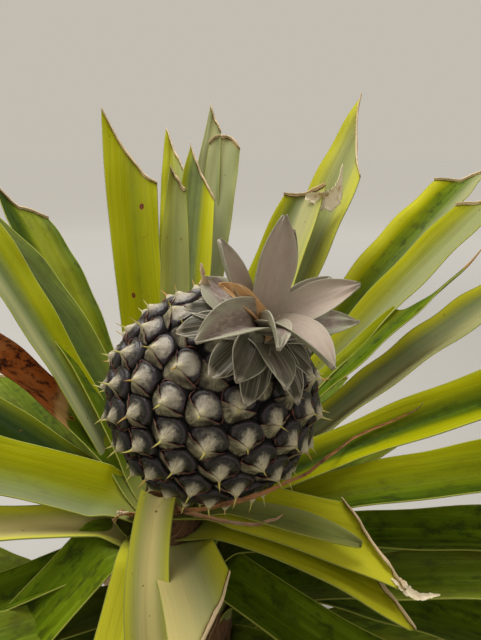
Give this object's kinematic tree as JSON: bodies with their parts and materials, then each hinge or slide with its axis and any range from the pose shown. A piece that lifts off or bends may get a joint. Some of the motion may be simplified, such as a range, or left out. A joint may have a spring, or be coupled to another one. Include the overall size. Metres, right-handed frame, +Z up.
{
  "type": "pineapple plant",
  "caption": "Pineapple plant with a ripening grey-purple fruit and its crown set low in a rosette of cut, channelled leaves.",
  "frame": {"origin": "centre of the flat cut under the stem, at ground level", "axes": "+Z up along the stem, +X to the picture's right, +Y away from the picture's viewer"},
  "size_m": [0.8663, 0.794, 0.6351],
  "materials": {
    "green_leaf": "waxy yellow-green upper face, frosted grey-green underside",
    "old_green_leaf": "waxy dark green, browned at the cut ends",
    "dead_leaf": "dry papery tan and brown",
    "crown_leaf": "frosted grey-purple",
    "fruit_rind": "glossy purple-grey eyes with frosted bracts and yellow spines",
    "stalk_skin": "green stalk",
    "old_leaf_bases": "fibrous brown and pale green leaf bases"
  },
  "bodies": {
    "root": {"stem": "old_leaf_bases", "fruit_stalk": "stalk_skin", "fruit": "fruit_rind", "crown_heart": "crown_leaf", "crown_leaf_1": "crown_leaf", "crown_leaf_2": "crown_leaf", "crown_leaf_3": "crown_leaf", "crown_leaf_4": "crown_leaf", "crown_leaf_5": "crown_leaf", "crown_leaf_6": "crown_leaf", "crown_leaf_7": "crown_leaf", "crown_leaf_8": "crown_leaf", "crown_leaf_9": "crown_leaf", "crown_leaf_10": "crown_leaf", "crown_leaf_11": "crown_leaf", "crown_leaf_12": "crown_leaf", "crown_leaf_13": "crown_leaf", "back_leaf_1": "green_leaf", "back_leaf_2": "green_leaf", "back_leaf_3": "green_leaf", "back_leaf_4": "green_leaf", "back_leaf_5": "green_leaf", "back_leaf_6": "green_leaf", "right_back_leaf_1": "green_leaf", "right_back_leaf_2": "green_leaf", "right_leaf_1": "green_leaf", "right_leaf_2": "green_leaf", "right_leaf_3": "green_leaf", "right_leaf_4": "green_leaf", "right_leaf_5": "green_leaf", "right_leaf_6": "green_leaf", "right_leaf_7": "green_leaf", "right_front_leaf_1": "green_leaf", "right_front_leaf_2": "green_leaf", "right_front_leaf_3": "green_leaf", "right_front_leaf_4": "green_leaf", "right_front_leaf_5": "green_leaf", "left_leaf_1": "green_leaf", "left_leaf_2": "green_leaf", "left_leaf_3": "green_leaf", "left_leaf_4": "green_leaf", "left_leaf_5": "green_leaf", "left_leaf_6": "green_leaf", "left_leaf_7": "green_leaf", "left_front_leaf_1": "green_leaf", "left_front_leaf_2": "green_leaf", "front_leaf_1": "green_leaf", "front_leaf_2": "green_leaf", "front_leaf_3": "green_leaf", "lower_leaf_1": "old_green_leaf", "lower_leaf_2": "old_green_leaf", "lower_leaf_3": "old_green_leaf", "lower_leaf_4": "old_green_leaf", "lower_leaf_5": "old_green_leaf", "lower_leaf_6": "old_green_leaf", "lower_leaf_7": "dead_leaf", "lower_leaf_8": "dead_leaf", "lower_leaf_9": "dead_leaf", "lower_leaf_mass": "old_green_leaf", "dead_leaf_skirt": "dead_leaf"}
  },
  "joints": []
}
